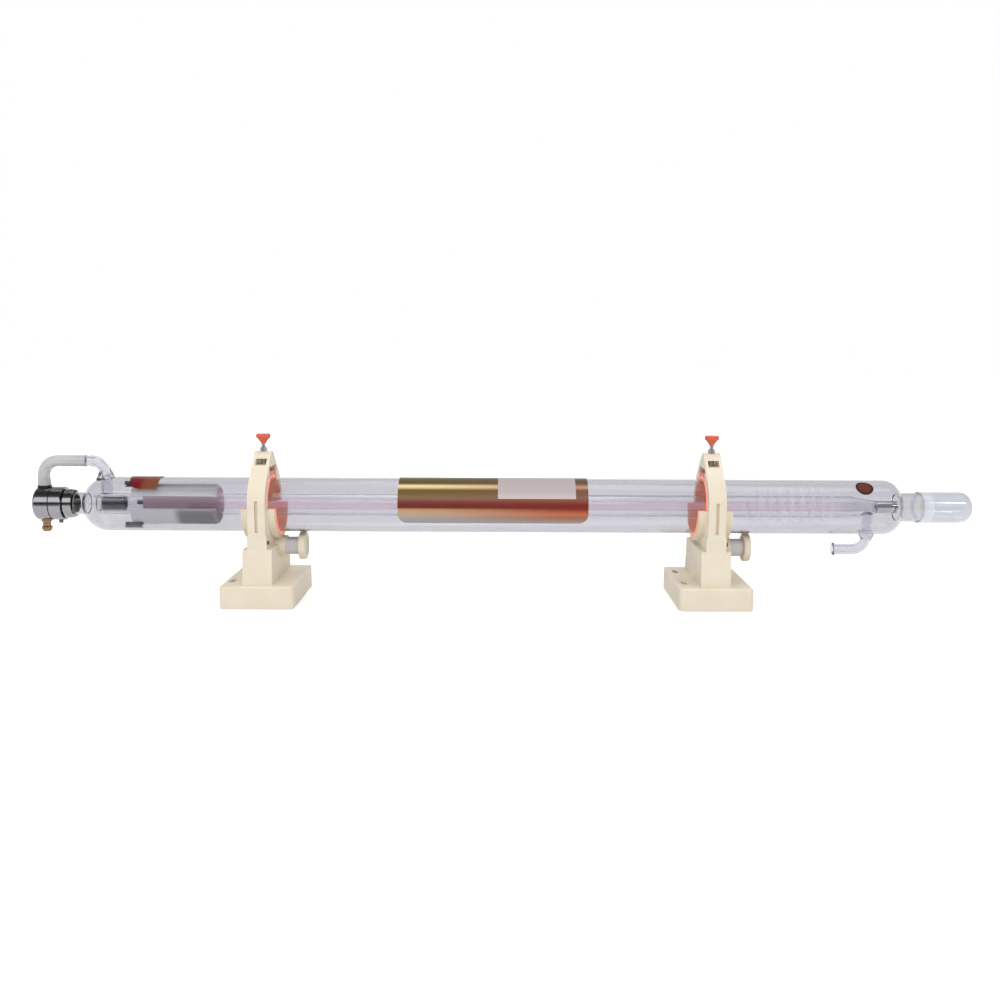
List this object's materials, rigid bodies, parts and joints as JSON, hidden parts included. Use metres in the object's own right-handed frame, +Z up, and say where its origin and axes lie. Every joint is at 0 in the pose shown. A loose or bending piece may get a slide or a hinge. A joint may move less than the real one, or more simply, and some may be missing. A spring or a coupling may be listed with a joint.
{
  "type": "co2 laser tube",
  "caption": "Sealed glass gas laser tube with metal mirror head, water branches, gas return coil and capped outlet, held in two cream clamping stands with red liners.",
  "frame": {"origin": "on the floor under the middle of the whole length, below the tube's axis", "axes": "+X along the tube from the mirror head to the beam outlet, +Y to the back, +Z up"},
  "size_m": [1.3718, 0.15, 0.244],
  "materials": {
    "shell_glass": "clear, fire polished",
    "inner_glass": "clear, fire polished",
    "cathode_metal": "satin sheet",
    "dark_metal": "dark satin",
    "head_metal": "polished plating",
    "screw_steel": "satin",
    "bright_steel": "bright satin",
    "mirror_coat": "gold coated",
    "brass": "satin",
    "black_rubber": "matte",
    "clear_hose": "clear silicone",
    "window_glass": "coated",
    "ring_metal": "satin",
    "clear_plastic": "clear",
    "gold_film": "metallic film",
    "pale_film": "gloss film",
    "red_film": "gloss film",
    "brown_film": "gloss film",
    "cream_plastic": "moulded",
    "red_rubber": "matte",
    "red_plastic": "moulded",
    "grey_plastic": "moulded"
  },
  "bodies": {
    "tube_and_stands": {"outer_shell": "shell_glass", "water_jacket": "inner_glass", "bore_tube": "inner_glass", "return_coil": "inner_glass", "inlet_branch": "inner_glass", "outlet_branch": "inner_glass", "cathode": "cathode_metal", "cathode_clips": "dark_metal", "anode_sleeve": "dark_metal", "outlet_sleeve": "bright_steel", "head_cap": "head_metal", "head_gasket": "black_rubber", "head_body": "head_metal", "head_screws": "screw_steel", "rear_mirror": "mirror_coat", "adjusting_ring": "head_metal", "adjusting_screws": "screw_steel", "seat_seal": "black_rubber", "terminal_screw": "screw_steel", "inlet_nozzle": "brass", "hose_spigot": "brass", "hose_gland": "black_rubber", "bypass_hose": "clear_hose", "outlet_mount": "ring_metal", "outlet_window": "window_glass", "window_retainer": "ring_metal", "gold_label": "gold_film", "white_label": "pale_film", "red_label": "red_film", "dot_label": "brown_film", "stand_left": "cream_plastic", "cradle_liner_left": "red_rubber", "yoke_left": "cream_plastic", "yoke_liner_left": "red_rubber", "yoke_screws_left": "screw_steel", "clamp_bush_left": "bright_steel", "knob_insert_left": "brass", "stand_right": "cream_plastic", "cradle_liner_right": "red_rubber", "yoke_right": "cream_plastic", "yoke_liner_right": "red_rubber", "yoke_screws_right": "screw_steel", "clamp_bush_right": "bright_steel", "knob_insert_right": "brass"},
    "left_shoe": {"clamp_shoe_left": "red_plastic", "clamp_pad_left": "red_rubber"},
    "left_clamp_screw": {"clamp_screw_left": "bright_steel", "thumb_head_left": "red_plastic"},
    "left_sleeve": {"knob_sleeve_left": "grey_plastic"},
    "left_knob": {"knob_stud_left": "bright_steel", "lock_knob_left": "cream_plastic"},
    "right_shoe": {"clamp_shoe_right": "red_plastic", "clamp_pad_right": "red_rubber"},
    "right_clamp_screw": {"clamp_screw_right": "bright_steel", "thumb_head_right": "red_plastic"},
    "right_sleeve": {"knob_sleeve_right": "grey_plastic"},
    "right_knob": {"knob_stud_right": "bright_steel", "lock_knob_right": "cream_plastic"},
    "cap": {"outlet_cap": "clear_plastic"}
  },
  "joints": [
    {"name": "left_clamp_slide", "type": "slide", "parent": "tube_and_stands", "child": "left_shoe", "axis": [0, 0, 1], "range_m": [0, 0.006]},
    {"name": "left_clamp_turn", "type": "hinge", "parent": "left_shoe", "child": "left_clamp_screw", "pos_m": [-0.3515, 0, 0.23], "axis": [0, 0, 1], "range_deg": [0, 2160]},
    {"name": "left_sleeve_slide", "type": "slide", "parent": "tube_and_stands", "child": "left_sleeve", "axis": [1, 0, 0], "range_m": [0, 0.0025]},
    {"name": "left_knob_turn", "type": "hinge", "parent": "left_sleeve", "child": "left_knob", "pos_m": [-0.2965, 0, 0.0785], "axis": [1, 0, 0], "range_deg": [0, 720]},
    {"name": "right_clamp_slide", "type": "slide", "parent": "tube_and_stands", "child": "right_shoe", "axis": [0, 0, 1], "range_m": [0, 0.006]},
    {"name": "right_clamp_turn", "type": "hinge", "parent": "right_shoe", "child": "right_clamp_screw", "pos_m": [0.3025, 0, 0.23], "axis": [0, 0, 1], "range_deg": [0, 2160]},
    {"name": "right_sleeve_slide", "type": "slide", "parent": "tube_and_stands", "child": "right_sleeve", "axis": [1, 0, 0], "range_m": [0, 0.0025]},
    {"name": "right_knob_turn", "type": "hinge", "parent": "right_sleeve", "child": "right_knob", "pos_m": [0.3575, 0, 0.0785], "axis": [1, 0, 0], "range_deg": [0, 720]},
    {"name": "cap_pull", "type": "slide", "parent": "tube_and_stands", "child": "cap", "axis": [1, 0, 0], "range_m": [0, 0.02]}
  ],
  "couplings": [
    {"joint": "left_clamp_turn", "follows": "left_clamp_slide", "rad_per_m": 6283.1},
    {"joint": "left_knob_turn", "follows": "left_sleeve_slide", "rad_per_m": 5026.5},
    {"joint": "right_clamp_turn", "follows": "right_clamp_slide", "rad_per_m": 6283.1},
    {"joint": "right_knob_turn", "follows": "right_sleeve_slide", "rad_per_m": 5026.5}
  ]
}
